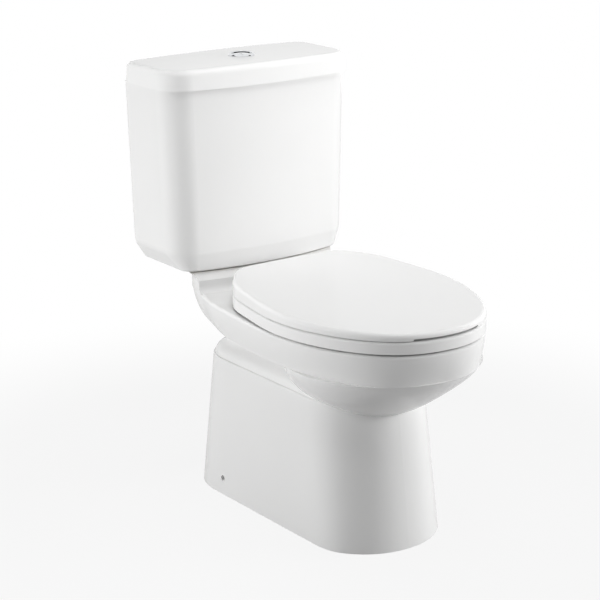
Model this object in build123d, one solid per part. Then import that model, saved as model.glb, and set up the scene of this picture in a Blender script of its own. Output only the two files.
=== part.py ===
"""Two-piece close-coupled toilet: a skirted pan, a cistern with its lid, flush valve and fill valve,
and a soft-close seat with its lid.

Millimetres. X is left to right as seen from the front, +Y points to the wall, +Z up.
The origin lies on the floor at the centre of the pan's waste outlet.
"""
from build123d import *
import math
import os

os.makedirs("parts", exist_ok=True)

# Setting out from the wall and the floor
rough_in = 305.0
wall_gap = 12.0
cistern_back = rough_in - wall_gap
overrun = 5.0
seat_gap = 0.3
running_gap = 0.05

# Pan: rim and deck
rim_height = 379.0
rim_front = 397.0
rim_half_width = 180.0
rim_widest = 147.0
rim_edge_radius = 4.5
opening_edge_radius = 5.0
deck_back = 249.0
band_height = 54.0
band_inset = 10.0
band_back_inset = 42.0
# Half outline of the deck: shares of the half width, and of the lengths before and behind the widest line
front_width_shares = (0.0, 0.528, 0.872, 1.0)
front_length_shares = (1.0, 0.872, 0.512, 0.0)
back_width_shares = (0.986, 0.944, 0.905, 0.83, 0.75, 0.66, 0.54, 0.33, 0.0)
back_length_shares = (0.227, 0.417, 0.535, 0.654, 0.775, 0.859, 0.932, 0.985, 1.0)
# How far down the band each section lies, and how far it has drawn in at the sides and at the back
band_depth_shares = (0.0, 0.5, 0.778, 1.0)
band_inset_shares = (0.0, 0.3, 0.7, 1.0)
band_back_shares = (0.0, 0.18, 0.37, 1.0)

# Pan: the bulb under the front of the rim
bulb_centre = 207.0
bulb_back = 150.0
bulb_half_widths = (169.5, 164.0, 151.0, 134.0, 107.0, 87.0, 60.0)
bulb_fronts = (182.0, 168.0, 144.0, 121.0, 98.0, 81.0, 60.0)
bulb_drops = (0.0, 15.0, 35.0, 52.0, 69.0, 80.0, 91.0)

# Pan: skirt and neck
skirt_drop = 123.0
skirt_height = rim_height - skirt_drop
skirt_back_half = 124.7
skirt_front_half = 119.5
skirt_back = 239.6
skirt_shoulder = 189.0
skirt_front = 293.0
skirt_top_half = 116.0
skirt_top_front_half = 114.0
skirt_top_back = 193.6
skirt_top_shoulder = 147.0
skirt_top_front = 262.0
skirt_corner = 112.0
skirt_top_corner = 90.0
skirt_edge_radius = 3.0
skirt_wall = 13.0
shelf_thickness = 13.0
round_share = 0.7071
neck_wall = 10.0
neck_insets = (2.5, 3.2, 5.5, 15.0, 25.0, 28.0, 24.0)
neck_back_insets = (2.5, 3.2, 6.4, 18.4, 30.1, 35.1, 34.4)
neck_rises = (-8.0, 0.0, 9.0, 18.0, 28.0, 44.0, 72.0)
neck_hollow_front = 40.0
deck_thickness = 21.0
access_half_width = 62.0
access_height_share = 0.5
access_corner = 30.0

# Pan: basin, rim channel and flush way
opening_half_width = 126.0
opening_front = 353.0
opening_back = 25.0
lip_thickness = 10.0
lip_drop = 34.0
rim_top_thickness = 12.0
channel_half_width = 163.0
channel_front = 378.0
channel_back = 20.0
basin_wall = 14.0
basin_half_widths = (163.0, 146.0, 137.0, 94.0, 64.0, 42.0, 33.0)
basin_fronts = (378.0, 366.0, 347.0, 289.0, 212.0, 152.0, 141.0)
basin_widests = (160.0, 188.0, 190.0, 185.0, 130.0, 102.0, 100.0)
basin_backs = (20.0, 62.0, 66.0, 70.0, 52.0, 52.0, 59.0)
basin_drops = (35.0, 54.0, 79.0, 121.0, 164.0, 214.0, 230.0)
duct_half_width = 38.0
duct_height = 20.0
duct_wall = 10.0

# Pan: trapway and outlet
trap_radius = 26.0
trap_wall = 9.0
trap_bend = 44.0
trap_start_front = 92.0
trap_start_drop = 203.0
trap_crest_back = 32.0
trap_crest_drop = 107.0
trap_heel = (104.0, 110.0)
trap_outlet_height = 66.0
trap_outlet_bend = 36.0
outlet_spigot = 44.0

# Pan: fixing holes
side_hole_radius = 5.25
side_hole_back = 97.0
side_hole_height = 31.0
seat_hole_radius = 7.0
seat_hole_spacing = 140.0

# Platform under the cistern
platform_height = 33.0
platform_ridge = 21.0
platform_front = 107.0
platform_slope = 14.0
platform_foot = 12.0
platform_bow_radius = 560.0
platform_flare = 12.0
platform_flare_height = 16.0
platform_flare_shares = (0.0, 0.25, 1.0)
platform_plate = 16.0
pocket_half_width = 93.0
pocket_front = 166.0
pocket_inset = 11.0
inlet_notch_radius = 22.5
inlet_radius = 34.0
inlet_recess_radius = 48.0
inlet_recess_depth = 26.0
inlet_wall = 10.0

# Cistern
cistern_gap = 3.0
cistern_height = 325.5
cistern_half_width = 193.7
cistern_depth = 152.5
cistern_back_offset = 6.0
cistern_bow = 24.0
cistern_front_radius = 54.0
cistern_back_radius = 12.0
cistern_wall = 11.0
cistern_floor = 12.0
side_taper = 8.7
lower_depth = 152.0
foot_height = 32.7
foot_taper = 21.0
foot_depth = 149.0
foot_front_radius = 24.0
foot_bend_radius = 24.0
foot_edge_radius = 6.0
valve_hole_radius = 28.0
tank_bolt_spacing = 156.0
tank_bolt_hole_radius = 6.0
platform_bolt_hole_radius = 7.0
fill_offset = 120.0
fill_hole_radius = 12.0

# Cistern lid
lid_overhang = 2.0
lid_front_overhang = 5.4
lid_bow = 24.2
lid_corner = 54.7
lid_back_radius = 28.0
lid_edge_height = 34.0
lid_draft = 4.0
lid_crown_radius = 6000.0
lid_edge_radius = 11.0
lid_rim = 20.0
lid_plate = 11.0
lid_lip_drop = 8.0
lid_lip_thickness = 6.0
lid_lip_gap = 2.5

# Flush buttons
bezel_radius = 24.0
bezel_rise = 4.5
bezel_bore = 18.2
bezel_shank_radius = 20.0
button_hole_radius = 20.5
bezel_shank_length = 36.0
bezel_floor = 4.0
button_gap = 0.15
button_thickness = 7.0
button_sink = 1.0
button_dome_radius = 90.0
button_split = 4.0
button_split_gap = 0.8
stem_radius = 3.2
stem_offset = 9.0
bezel_nut_radius = 27.0
bezel_nut_height = 9.0
rod_radius = 2.6
rod_collar_radius = 4.0
rod_collar_height = 5.0

# Flush valve
valve_shank_radius = 27.0
valve_throat = 22.0
valve_flange_radius = 46.0
valve_flange_height = 6.0
valve_washer_height = 2.5
valve_seat_height = 4.0
valve_seat_width = 3.0
basket_radius = 33.0
basket_wall = 3.0
basket_height = 70.0
basket_rib_width = 9.0
tower_radius = 27.0
tower_wall = 2.5
tower_height = 176.0
tower_window_width = 16.0
tower_window_height = 110.0
head_height = 20.0
head_radius = 31.0
head_slot_radius = 5.0
core_radius = 11.0
core_bore = 9.0
core_height = 212.0
core_guide_radius = 24.0
core_guide_height = 4.0
core_lift = 20.0
seal_radius = 28.0
seal_height = 4.0
valve_nut_radius = 38.0
valve_nut_height = 11.0
valve_nut_lugs = 6
gasket_radius = 47.5
gasket_lip = 8.0
valve_shank_drop = 18.0

# Fill valve
fill_shank_radius = 10.4
fill_bore = 5.0
fill_shank_drop = 40.0
fill_relief_radius = 9.6
fill_relief_height = 1.5
fill_flange_radius = 21.0
fill_flange_height = 4.0
fill_washer_height = 3.0
riser_radius = 11.0
riser_height = 178.0
fill_head_radius = 17.0
fill_head_height = 34.0
float_radius = 29.0
float_height = 54.0
float_wall = 2.5
float_bore_gap = 0.5
float_travel = 16.0
lever_arm = 35.0
lever_width = 8.0
lever_thickness = 5.0
lever_pin_radius = 2.5
lever_rise = 14.0
link_radius = 1.6
link_collar_radius = 3.0
link_collar_gap = 1.0
fill_nut_radius = 17.0
fill_nut_height = 12.0

# Bolts between cistern and pan
tank_bolt_radius = 4.0
tank_bolt_head_radius = 9.0
tank_bolt_head_height = 5.0
tank_bolt_length = 58.0
bolt_seal_radius = 13.0
bolt_seal_height = 3.5
bolt_washer_radius = 11.0
bolt_washer_height = 2.0
bolt_nut_radius = 8.0
bolt_nut_height = 8.0

# Seat ring and seat lid
seat_side_overhang = 1.0
seat_front_overhang = 1.7
seat_half_width = rim_half_width + seat_side_overhang
seat_front = rim_front + seat_front_overhang
seat_widest = 139.3
lid_back = 66.0
ring_back = 42.0
ring_corner = 12.0
ring_notch_front = 13.0
ring_bottom_gap = 3.6
ring_height = 20.1
ring_edge_radius = 4.0
ring_hole_half_width = 112.0
ring_hole_front = 345.0
ring_hole_back = 58.0
ring_shell = 3.2
lid_gap = 1.8
lid_front_height = 8.0
lid_back_height = 25.5
lid_shell = 3.5
lid_top_radius = 3300.0
lid_length_radius = 15000.0
lid_round = 7.0
lid_inset = 4.0
notch_half_width = 66.0
notch_height = 3.0
notch_depth = 28.0
seat_width_shares = (0.0, 0.528, 0.876, 1.0)
seat_length_shares = (1.0, 0.876, 0.528, 0.0)
seat_back_width_shares = (0.934, 0.829, 0.724, 0.669, 0.608, 0.53, 0.276, 0.0)
seat_back_length_shares = (0.39, 0.727, 0.859, 0.92, 0.968, 0.993, 1.0, 1.0)
bumper_length = 34.0
bumper_width = 12.0
bumper_front_share = 0.68
bumper_back_share = 0.30
lid_bumper_radius = 6.0
lid_bumper_front_share = 0.55

# Seat hinges
hinge_back = 46.0
hinge_height = 26.0
hinge_pin_radius = 4.0
hinge_post_width = 20.0
hinge_barrel_radius = 10.0
hinge_foot_radius = 14.0
hinge_foot_height = 3.0
hinge_column_half = 7.0
hinge_side_gap = 0.5
lug_width = 12.0
lug_radius = 9.0
stud_radius = 3.5
stud_length = 42.0
stud_socket = 8.0
sleeve_radius = 6.7
hinge_nut_radius = 6.5
hinge_nut_height = 5.0
notch_side_gap = 4.0
notch_rise = 14.0


def half_outline(half_width, front, widest, back, widths, lengths, back_widths, back_lengths):
    """Points of a half outline, from the front round to the back."""
    ahead = [(half_width * w, -widest - (front - widest) * n) for w, n in zip(widths, lengths)]
    behind = [(half_width * w, -widest + (back + widest) * n) for w, n in zip(back_widths, back_lengths)]
    return ahead + behind


def mirrored_face(points, height):
    """Flat face at a height, closed by mirroring a half outline about the middle plane."""
    right = [Vector(x, y, height) for x, y in points]
    left = [Vector(-x, y, height) for x, y in points[1:-1]]
    return Face(Wire([Edge.make_spline(right + left[::-1], periodic=True)]))


def egg_face(half_width, front, widest, back, height):
    """Egg-shaped face: two half ellipses that share their widest line."""
    centre = Plane(origin=(0, -widest, height), x_dir=(1, 0, 0), z_dir=(0, 0, 1))
    behind = Edge.make_ellipse(half_width, back + widest, centre, 0, 180)
    ahead = Edge.make_ellipse(half_width, front - widest, centre, 180, 360)
    return Face(Wire([behind, ahead]))


def cylinder(radius, bottom, top, x=0.0, y=0.0):
    """Upright cylinder between two heights."""
    return Pos(x, y, (bottom + top) / 2) * Cylinder(radius, top - bottom)


def tube(outer, inner, bottom, top, x=0.0, y=0.0):
    """Upright tube between two heights."""
    return cylinder(outer, bottom, top, x, y) - cylinder(inner, bottom - overrun, top + overrun, x, y)


def block(x0, x1, y0, y1, z0, z1):
    """Box between two corners."""
    return Pos((x0 + x1) / 2, (y0 + y1) / 2, (z0 + z1) / 2) * Box(x1 - x0, y1 - y0, z1 - z0)


def prism(face, height):
    """A flat face carried straight up."""
    return extrude(face, amount=height, dir=(0, 0, 1))


def crossbar(radius, x0, x1, y, z):
    """Round bar along X."""
    return Pos((x0 + x1) / 2, y, z) * Rot(0, 90, 0) * Cylinder(radius, x1 - x0)


# Heights that several pieces share
platform_top = rim_height + platform_height
plate_under = platform_top - platform_plate
cistern_bottom = platform_top + cistern_gap
cistern_top = cistern_bottom + cistern_height
lower_half_width = cistern_half_width - side_taper
foot_half_width = lower_half_width - foot_taper
lid_half_width = cistern_half_width + lid_overhang
lid_depth = cistern_depth + cistern_back_offset + lid_front_overhang
tank_floor = cistern_bottom + cistern_floor
valve_y = cistern_back - cistern_back_offset - (cistern_depth + cistern_bow) / 2
band_bottom = rim_height - band_height
ring_bottom = rim_height + ring_bottom_gap
ring_top = ring_bottom + ring_height
lid_bottom = ring_top + lid_gap
axis_z = rim_height + hinge_height


# Pan
def deck_section(share_index):
    """One section through the band and deck."""
    inset = band_inset * band_inset_shares[share_index]
    back = deck_back - band_back_inset * band_back_shares[share_index]
    points = half_outline(rim_half_width, rim_front, rim_widest, back, front_width_shares,
                          front_length_shares, back_width_shares, back_length_shares)
    drawn_in = [(max(x - inset, 0.0), y) for x, y in points]
    drawn_in[0] = (0.0, inset - rim_front)
    return drawn_in


def deck_solid():
    """Rim band and deck: its underside sweeps up towards the back."""
    sections = []
    for i, depth in enumerate(band_depth_shares):
        sections.append(mirrored_face(deck_section(i), rim_height - band_height * depth))
    deck = loft(sections)
    return fillet(deck.faces().sort_by(Axis.Z)[-1].edges(), rim_edge_radius)


def platform_solid():
    """Raised seat for the cistern, with a bowed front face that runs out over the deck."""
    centre_y = platform_front + platform_bow_radius
    ridge_z = rim_height + platform_ridge
    foot_radius = platform_bow_radius + platform_foot
    with BuildPart() as drum:
        with BuildSketch(Plane.XZ):
            with BuildLine():
                Polyline((0, rim_height - overrun), (foot_radius, rim_height - overrun),
                         (foot_radius, rim_height))
                RadiusArc((foot_radius, rim_height), (platform_bow_radius, rim_height + platform_foot),
                          platform_foot)
                Polyline((platform_bow_radius, rim_height + platform_foot), (platform_bow_radius, ridge_z),
                         (platform_bow_radius - platform_slope, platform_top), (0, platform_top),
                         (0, rim_height - overrun))
            make_face()
        revolve(axis=Axis.Z)
    low = platform_top - platform_flare_height
    sections = []
    for i, share in enumerate(platform_flare_shares):
        grown = half_outline(rim_half_width + platform_flare * share, rim_front, rim_widest,
                             deck_back + platform_flare * share, front_width_shares, front_length_shares,
                             back_width_shares, back_length_shares)
        level = low + platform_flare_height * i / (len(platform_flare_shares) - 1)
        sections.append(mirrored_face(grown, level))
    block_up = prism(mirrored_face(deck_section(0), rim_height - overrun), low - rim_height + overrun)
    return (block_up + loft(sections)) & (Pos(0, centre_y, 0) * drum.part)


def bulb_solid():
    """Rounded belly under the front of the rim."""
    sections = []
    for width, front, drop in zip(bulb_half_widths, bulb_fronts, bulb_drops):
        sections.append(egg_face(width, bulb_centre + front, bulb_centre, bulb_back - bulb_centre,
                                 band_bottom - drop))
    return loft(sections)


def skirt_face(back_half, front_half, back, shoulder, front, corner, height):
    """Footprint of the skirt: square back with round corners, straight sides, elliptical front."""
    edges = [Edge.make_line((-back_half + corner, back, height), (back_half - corner, back, height))]
    for side in (1, -1):
        turn = corner - corner * round_share
        middle = (side * (back_half - turn), back - turn, height)
        edges.append(Edge.make_three_point_arc((side * (back_half - corner), back, height), middle,
                                               (side * back_half, back - corner, height)))
        hip = Vector(side * back_half, back - corner, height)
        knee = Vector(side * front_half, -shoulder, height)
        toe = Vector(side * front_half * round_share, -shoulder - (front - shoulder) * round_share, height)
        edges.append(Edge.make_line(hip, knee))
        edges.append(Edge.make_spline([knee, toe, Vector(0, -front, height)],
                                      tangents=[(knee - hip).normalized(), Vector(-side, 0, 0)]))
    return Face(Wire(edges))


def skirt_solid(inset, bottom, top):
    """Skirt between two heights, drawn in by a wall when it is the hollow."""
    low = skirt_face(skirt_back_half - inset, skirt_front_half - inset, skirt_back - inset,
                     skirt_shoulder, skirt_front - inset, skirt_corner - inset, bottom)
    high = skirt_face(skirt_top_half - inset, skirt_top_front_half - inset, skirt_top_back - inset,
                      skirt_top_shoulder, skirt_top_front - inset, skirt_top_corner - inset, top)
    return loft([low, high])


def neck_solid():
    """Sloping shoulder above the skirt and the drawn-in neck that carries the deck."""
    sections = []
    for inset, back_inset, rise in zip(neck_insets, neck_back_insets, neck_rises):
        sections.append(skirt_face(skirt_top_half - inset, skirt_top_front_half - inset,
                                   skirt_top_back - back_inset, skirt_top_shoulder, skirt_top_front - inset,
                                   skirt_top_corner - inset, skirt_height + rise))
    return loft(sections)


def basin_solid(growth):
    """Inside of the basin, or its outer wall when it is grown."""
    sections = []
    for width, front, widest, back, drop in zip(basin_half_widths, basin_fronts, basin_widests,
                                                basin_backs, basin_drops):
        sections.append(egg_face(width + growth, front + growth, widest, growth - back,
                                 rim_height - drop - growth))
    return loft(sections)


def trap_path():
    """Centre line of the trapway: up behind the basin, over the weir and down to the outlet."""
    points = [(0, -trap_start_front, rim_height - trap_start_drop),
              (0, trap_crest_back, rim_height - trap_crest_drop),
              (0, trap_heel[0], trap_heel[1]), (0, 0, trap_outlet_height), (0, 0, 0)]
    return points


def trap_tube(radius, bottom_overrun):
    """The trapway's bore or its outer wall."""
    points = trap_path()
    points[-1] = (0, 0, -bottom_overrun)
    path = FilletPolyline(*points, radius=(trap_bend, trap_bend, trap_outlet_bend))
    start = Vector(*points[0])
    along = (Vector(*points[1]) - start).normalized()
    return sweep(Plane(origin=start, z_dir=along) * Circle(radius), path=path)


def hinge_places():
    """Middles of the two seat hinges, left and right."""
    return (-seat_hole_spacing / 2, seat_hole_spacing / 2)


def tank_bolt_places():
    """Middles of the two bolts under the cistern."""
    return (-tank_bolt_spacing / 2, tank_bolt_spacing / 2)


def opening_edges(body):
    """Upper edges of the basin's opening."""
    edges = []
    reach = opening_half_width + running_gap
    level = body.edges().filter_by_position(Axis.Z, rim_height - running_gap, rim_height + running_gap)
    for edge in level:
        box = edge.bounding_box()
        if edge.length > opening_half_width and box.min.X > -reach and box.max.X < reach:
            edges.append(edge)
    return edges


def bowl():
    """The pan in one ceramic casting."""
    skirt = skirt_solid(0.0, 0.0, skirt_height)
    top_edges = skirt.faces().sort_by(Axis.Z)[-1].edges()
    skirt = fillet(top_edges, skirt_edge_radius)
    body = deck_solid() + platform_solid() + bulb_solid() + skirt + neck_solid()

    hollow = skirt_solid(skirt_wall, -overrun, skirt_height - shelf_thickness)
    neck_inset = max(neck_insets) + neck_wall
    neck_low = skirt_height - shelf_thickness - overrun
    neck_room = skirt_face(skirt_top_half - neck_inset, skirt_top_front_half - neck_inset,
                           skirt_top_back - max(neck_back_insets) - neck_wall, neck_hollow_front / 2,
                           neck_hollow_front, skirt_top_corner - neck_inset, neck_low)
    hollow += prism(neck_room, rim_height - deck_thickness - neck_low)
    tube_radius = inlet_radius + inlet_wall
    recess_outer = inlet_recess_radius + inlet_wall
    pocket_outline = [(max(x - pocket_inset, 0.0), y) for x, y in deck_section(0)]
    pocket_outline[-1] = (0.0, deck_back - pocket_inset)
    pocket_floor = band_bottom - overrun
    pocket = prism(mirrored_face(pocket_outline, pocket_floor), plate_under - pocket_floor)
    pocket = pocket & block(-pocket_half_width, pocket_half_width, pocket_front, deck_back,
                            band_bottom - 2 * overrun, plate_under)
    hollow += pocket

    channel_top = rim_height - rim_top_thickness
    duct_bottom = channel_top - duct_height
    duct_floor = duct_bottom - duct_wall
    ways = block(-duct_half_width - duct_wall, duct_half_width + duct_wall, -opening_back, valve_y,
                 duct_floor, rim_height - overrun)
    ways += cylinder(tube_radius, duct_floor, platform_top, y=valve_y)
    ways += cylinder(recess_outer, platform_top - inlet_recess_depth - inlet_wall, platform_top, y=valve_y)
    ways = ways & prism(mirrored_face(deck_section(0), duct_floor), platform_top - duct_floor)
    body = body - hollow + ways
    body = body + (basin_solid(basin_wall) & skirt)
    body = body + trap_tube(trap_radius + trap_wall, 0.0)

    lip_bottom = rim_height - lip_drop
    channel = egg_face(channel_half_width, channel_front, basin_widests[0], -channel_back,
                       lip_bottom - overrun)
    lip = egg_face(opening_half_width + lip_thickness, opening_front + lip_thickness, rim_widest,
                   lip_thickness - opening_back, lip_bottom)
    opening = egg_face(opening_half_width, opening_front, rim_widest, -opening_back, lip_bottom - overrun)
    body -= prism(channel, channel_top - lip_bottom + overrun) - prism(lip, lip_drop)
    body -= basin_solid(0.0)
    body -= prism(opening, lip_drop + 2 * overrun)
    body -= trap_tube(trap_radius, overrun)
    body -= block(-duct_half_width, duct_half_width, -channel_back - lip_thickness, valve_y,
                  duct_bottom, channel_top)
    body -= cylinder(inlet_radius, duct_bottom, platform_top + overrun, y=valve_y)
    body -= cylinder(inlet_recess_radius, platform_top - inlet_recess_depth, platform_top + overrun,
                     y=valve_y)

    for x in tank_bolt_places():
        body -= cylinder(platform_bolt_hole_radius, plate_under - overrun, platform_top + overrun, x, valve_y)
    body -= cylinder(inlet_notch_radius, band_bottom - overrun, platform_top + overrun, fill_offset, valve_y)
    for x in hinge_places():
        body -= cylinder(seat_hole_radius, rim_height - deck_thickness - overrun, rim_height + overrun, x,
                         hinge_back)
    body -= Pos(0, side_hole_back, side_hole_height) * Rot(0, 90, 0) * Cylinder(
        side_hole_radius, 2 * (skirt_back_half + overrun))
    access_height = skirt_height * access_height_share
    arch = RectangleRounded(2 * access_half_width, access_height, access_corner)
    arch_plane = Plane(origin=(0, skirt_top_back - 2 * skirt_wall, access_height / 2 + skirt_wall),
                       x_dir=(1, 0, 0), z_dir=(0, 1, 0))
    body -= extrude(arch_plane * arch, amount=2 * skirt_back)
    return fillet(opening_edges(body), opening_edge_radius)


def pan_sections():
    """The casting in five lengths: rim and deck, belly, skirt, trapway and the outlet's spigot."""
    casting = bowl()
    part_line = skirt_height - shelf_thickness
    reach = 2 * rim_front
    top = block(-reach, reach, -reach, reach, band_bottom, 2 * rim_height)
    middle = block(-reach, reach, -reach, reach, part_line, band_bottom)
    low = casting & block(-reach, reach, -reach, reach, 0, part_line)
    inside = skirt_solid(skirt_wall, -overrun, part_line)
    ways = low & inside
    foot = block(-reach, reach, -reach, reach, -overrun, outlet_spigot)
    return casting & top, casting & middle, low - inside, ways - foot, ways & foot


# Cistern and its lid
def cistern_face(half_width, back, depth, bow, front_radius, back_radius, height):
    """Flat back, straight sides and a gently bowed front."""
    side_front = back - depth
    face = make_face([
        Line((-half_width, back), (half_width, back)),
        Line((half_width, back), (half_width, side_front)),
        ThreePointArc((half_width, side_front), (0, side_front - bow), (-half_width, side_front)),
        Line((-half_width, side_front), (-half_width, back)),
    ])
    corners = face.vertices().sort_by(Axis.Y)
    face = fillet(corners[-2:], back_radius)
    corners = face.vertices().sort_by(Axis.Y)
    face = fillet(corners[:2], front_radius)
    return (Pos(0, 0, height) * face).face()


def cistern_levels(inset, bottom, top):
    """Three outlines: at the top, above the sloping foot and at the floor."""
    back = cistern_back - cistern_back_offset - inset
    front_radius = cistern_front_radius - inset
    back_radius = max(cistern_back_radius - inset, cistern_back_radius / 4)
    upper = cistern_face(cistern_half_width - inset, back, cistern_depth - 2 * inset, cistern_bow,
                         front_radius, back_radius, top)
    lower = cistern_face(lower_half_width - inset, back, lower_depth - 2 * inset, cistern_bow,
                         front_radius, back_radius, cistern_bottom + foot_height)
    foot = cistern_face(foot_half_width - inset, back, foot_depth - 2 * inset, cistern_bow,
                        foot_front_radius - inset, back_radius, bottom)
    return upper, lower, foot


def cistern_solid(inset, bottom, top):
    """Solid through the three outlines."""
    upper, lower, foot = cistern_levels(inset, bottom, top)
    return loft([lower, upper]) + loft([foot, lower])


def cistern():
    """Ceramic tank, open at the top."""
    outer = cistern_solid(0.0, cistern_bottom, cistern_top)
    outer = fillet(outer.faces().sort_by(Axis.Z)[0].edges(), foot_edge_radius)
    bend = cistern_bottom + foot_height
    outer = fillet(outer.edges().filter_by_position(Axis.Z, bend - running_gap, bend + running_gap),
                   foot_bend_radius)
    inner = cistern_solid(cistern_wall, tank_floor, cistern_top)
    inner += prism(inner.faces().sort_by(Axis.Z)[-1], overrun)
    body = outer - inner
    low, high = cistern_bottom - overrun, tank_floor + overrun
    body -= cylinder(valve_hole_radius, low, high, y=valve_y)
    body -= cylinder(fill_hole_radius, low, high, fill_offset, valve_y)
    for x in tank_bolt_places():
        body -= cylinder(tank_bolt_hole_radius, low, high, x, valve_y)
    return body


def crown_height(y):
    """Height of the lid's crowned top on its middle line."""
    reach = lid_half_width
    centre_z = cistern_top + lid_edge_height - math.sqrt(lid_crown_radius ** 2 - reach ** 2)
    away = y - valve_y
    return centre_z + math.sqrt(lid_crown_radius ** 2 - away ** 2)


def cistern_lid():
    """Ceramic lid with a crowned top, hollow underneath, with a locating lip."""
    outline = cistern_face(lid_half_width, cistern_back, lid_depth, lid_bow, lid_corner, lid_back_radius,
                           cistern_top)
    top_z = crown_height(valve_y)
    drawn = cistern_face(lid_half_width - lid_draft, cistern_back - lid_draft, lid_depth - 2 * lid_draft,
                         lid_bow, lid_corner - lid_draft, lid_back_radius - lid_draft,
                         cistern_top + 2 * lid_edge_height)
    blank = loft([outline, drawn])
    dome = Pos(0, valve_y, top_z - lid_crown_radius) * Rot(90, 0, 0) * Sphere(lid_crown_radius)
    body = blank & dome
    body = fillet(body.faces().sort_by(Axis.Z)[-1].edges(), lid_edge_radius)
    hollow = cistern_face(lid_half_width - lid_rim, cistern_back - lid_rim, lid_depth - 2 * lid_rim, lid_bow,
                          lid_corner - lid_rim, lid_back_radius / 4, cistern_top - overrun)
    body -= prism(hollow, lid_edge_height - lid_plate + overrun)
    body -= cylinder(button_hole_radius, cistern_top - overrun, top_z + overrun, y=valve_y)
    inset = cistern_wall + lid_lip_gap
    back = cistern_back - cistern_back_offset - inset
    outer = cistern_face(cistern_half_width - inset, back, cistern_depth - 2 * inset, cistern_bow,
                         cistern_front_radius - inset, cistern_back_radius / 4, cistern_top - lid_lip_drop)
    inset += lid_lip_thickness
    back -= lid_lip_thickness
    inner = cistern_face(cistern_half_width - inset, back, cistern_depth - 2 * inset, cistern_bow,
                         cistern_front_radius - inset, cistern_back_radius / 4, cistern_top - lid_lip_drop)
    rise = lid_lip_drop + lid_edge_height - lid_plate
    return body + (prism(outer, rise) - prism(inner, rise))


# Flush buttons
lid_top_z = crown_height(valve_y)
bezel_top = lid_top_z + bezel_rise
bezel_bottom = lid_top_z - bezel_shank_length
button_top = bezel_top - button_sink
button_bottom = button_top - button_thickness


def button_bezel():
    """Plated ring with a threaded shank through the lid and a guide floor for the two stems."""
    with BuildPart() as ring:
        with BuildSketch(Plane.XZ):
            with BuildLine():
                Polyline((bezel_bore, lid_top_z - bezel_shank_length), (bezel_shank_radius, bezel_bottom),
                         (bezel_shank_radius, lid_top_z), (bezel_radius, lid_top_z),
                         (bezel_radius, lid_top_z + bezel_rise / 4))
                RadiusArc((bezel_radius, lid_top_z + bezel_rise / 4),
                          (bezel_bore + bezel_rise / 2, bezel_top), -bezel_rise * 2)
                Polyline((bezel_bore + bezel_rise / 2, bezel_top), (bezel_bore, bezel_top - bezel_rise / 4),
                         (bezel_bore, bezel_bottom))
            make_face()
        revolve(axis=Axis.Z)
    body = Pos(0, valve_y, 0) * ring.part
    body += cylinder(bezel_shank_radius - running_gap, bezel_bottom, bezel_bottom + bezel_floor,
                     y=valve_y)
    for x in (-stem_offset, stem_offset):
        body -= cylinder(stem_radius + running_gap, bezel_bottom - overrun, bezel_bottom + 2 * bezel_floor,
                         x, valve_y)
    return body


def button_nut():
    """Winged plastic nut under the lid."""
    top = cistern_top + lid_edge_height - lid_plate
    body = tube(bezel_nut_radius, bezel_shank_radius + running_gap, top - bezel_nut_height, top, y=valve_y)
    wing = block(bezel_nut_radius - rod_radius, bezel_nut_radius + rod_collar_height,
                 valve_y - rod_radius, valve_y + rod_radius, top - bezel_nut_height, top)
    centre = Axis((0, valve_y, 0), (0, 0, 1))
    for turn in range(4):
        body += wing.rotate(centre, 45 + 90 * turn)
    return body


def button_half(side):
    """One of the two buttons: side 1 is the larger, full flush one, side -1 the half flush one."""
    radius = bezel_bore - button_gap
    disc = cylinder(radius, button_bottom, button_top + overrun, y=valve_y)
    dome = Pos(0, valve_y, button_top - button_dome_radius) * Sphere(button_dome_radius)
    disc = disc & dome
    split = -button_split + side * button_split_gap / 2
    keep = block(min(split, side * bezel_radius), max(split, side * bezel_radius), valve_y - bezel_radius,
                 valve_y + bezel_radius, button_bottom, button_top + overrun)
    body = disc & keep
    stem_bottom = bezel_bottom - button_thickness
    x = side * stem_offset
    body += cylinder(stem_radius, stem_bottom, button_bottom + button_thickness / 2, x, valve_y)
    return body - cylinder(rod_radius, stem_bottom - overrun, stem_bottom + 2 * button_thickness, x, valve_y)


def push_rod(side):
    """Plastic rod that screws into a button's stem and reaches down to the flush valve."""
    stem_bottom = bezel_bottom - button_thickness
    x = side * stem_offset
    body = cylinder(rod_radius, head_top + rod_collar_height, stem_bottom + 2 * button_thickness, x, valve_y)
    body += cylinder(rod_collar_radius, head_top + seat_gap, head_top + rod_collar_height, x, valve_y)
    return body


# Flush valve
valve_flange_bottom = tank_floor + valve_washer_height
valve_flange_top = valve_flange_bottom + valve_flange_height
valve_seat_top = valve_flange_top + valve_seat_height
basket_top = valve_flange_top + basket_height
tower_top = basket_top + tower_height
head_top = tower_top + head_height


def valve_base():
    """Threaded outlet with its flange, seat lip and open basket."""
    bottom = cistern_bottom - valve_shank_drop
    body = cylinder(valve_shank_radius, bottom, valve_flange_bottom + overrun, y=valve_y)
    body += cylinder(valve_flange_radius, valve_flange_bottom, valve_flange_top, y=valve_y)
    body += cylinder(valve_throat + valve_seat_width, valve_flange_top, valve_seat_top, y=valve_y)
    body -= cylinder(valve_throat, bottom - overrun, valve_seat_top + overrun, y=valve_y)
    ribs = tube(basket_radius, basket_radius - basket_wall, valve_flange_top, basket_top, y=valve_y)
    cross = block(-basket_rib_width / 2, basket_rib_width / 2, valve_y - 2 * basket_radius,
                  valve_y + 2 * basket_radius, valve_flange_top, basket_top)
    cross += block(-2 * basket_radius, 2 * basket_radius, valve_y - basket_rib_width / 2,
                   valve_y + basket_rib_width / 2, valve_flange_top, basket_top)
    ring = tube(basket_radius, basket_radius - basket_wall, basket_top - basket_rib_width, basket_top,
                y=valve_y)
    floor = tube(basket_radius, tower_radius - tower_wall, basket_top - basket_wall, basket_top, y=valve_y)
    return body + (ribs & cross) + ring + floor


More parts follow.
